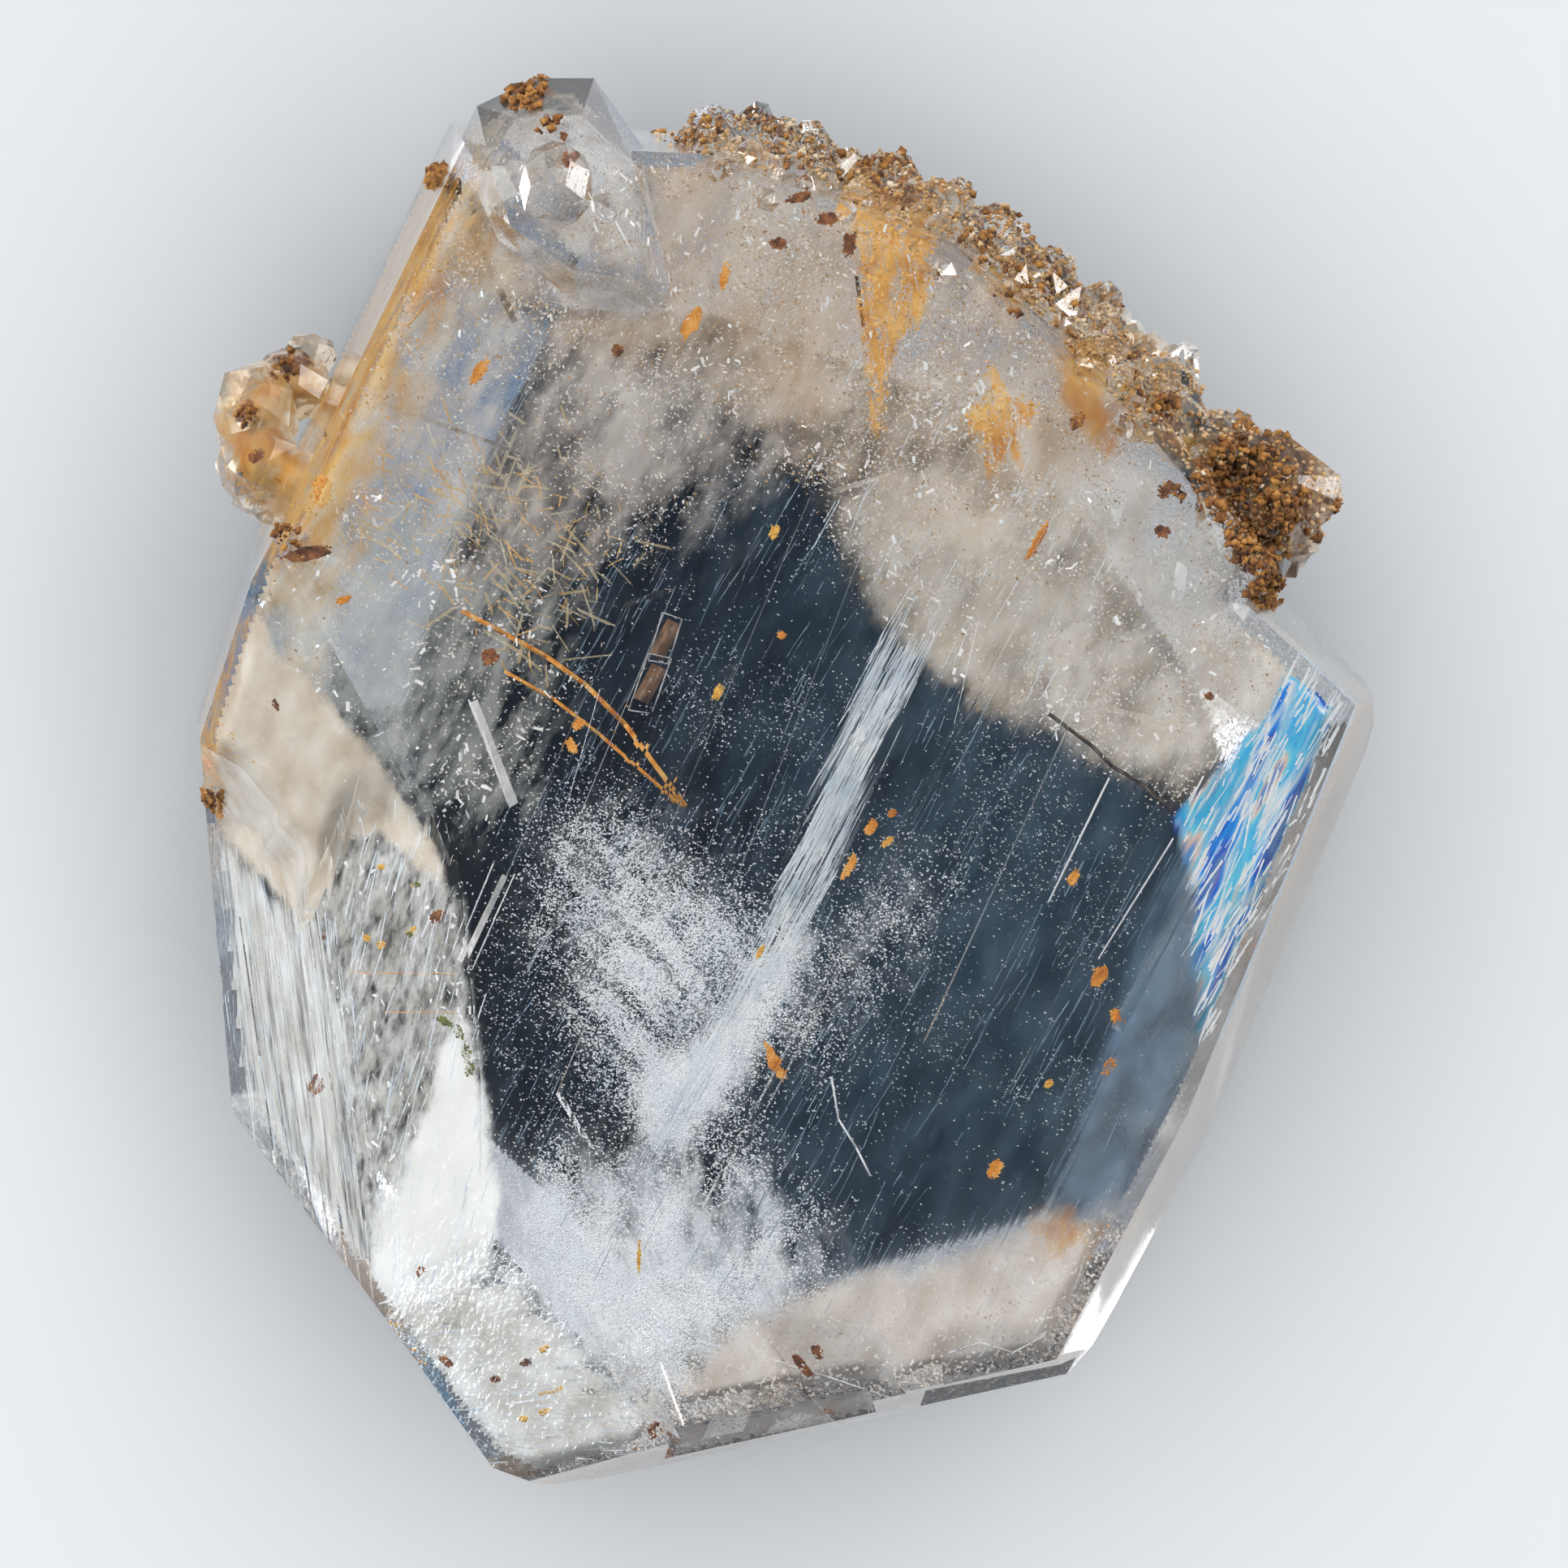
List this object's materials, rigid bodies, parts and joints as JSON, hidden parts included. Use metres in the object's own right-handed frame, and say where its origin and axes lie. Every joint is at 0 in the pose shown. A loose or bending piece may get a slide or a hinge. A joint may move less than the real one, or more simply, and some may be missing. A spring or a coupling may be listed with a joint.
{
  "type": "quartz crystal",
  "caption": "Stubby clear quartz crystal lying on a prism face, with a stepped broken edge, small attached crystals and a sugary crust along one side.",
  "frame": {"origin": "middle of the crystal's box, on the flat back face that it rests on", "axes": "+X right and +Y up the crystal as the picture shows it, +Z out of the big front face"},
  "size_m": [0.0336, 0.0398, 0.0203],
  "materials": {
    "clear_quartz": "glossy natural faces, clear with white veils and rusty iron-oxide stains inside"
  },
  "bodies": {
    "root": {"quartz_crystal": "clear_quartz"}
  },
  "joints": []
}
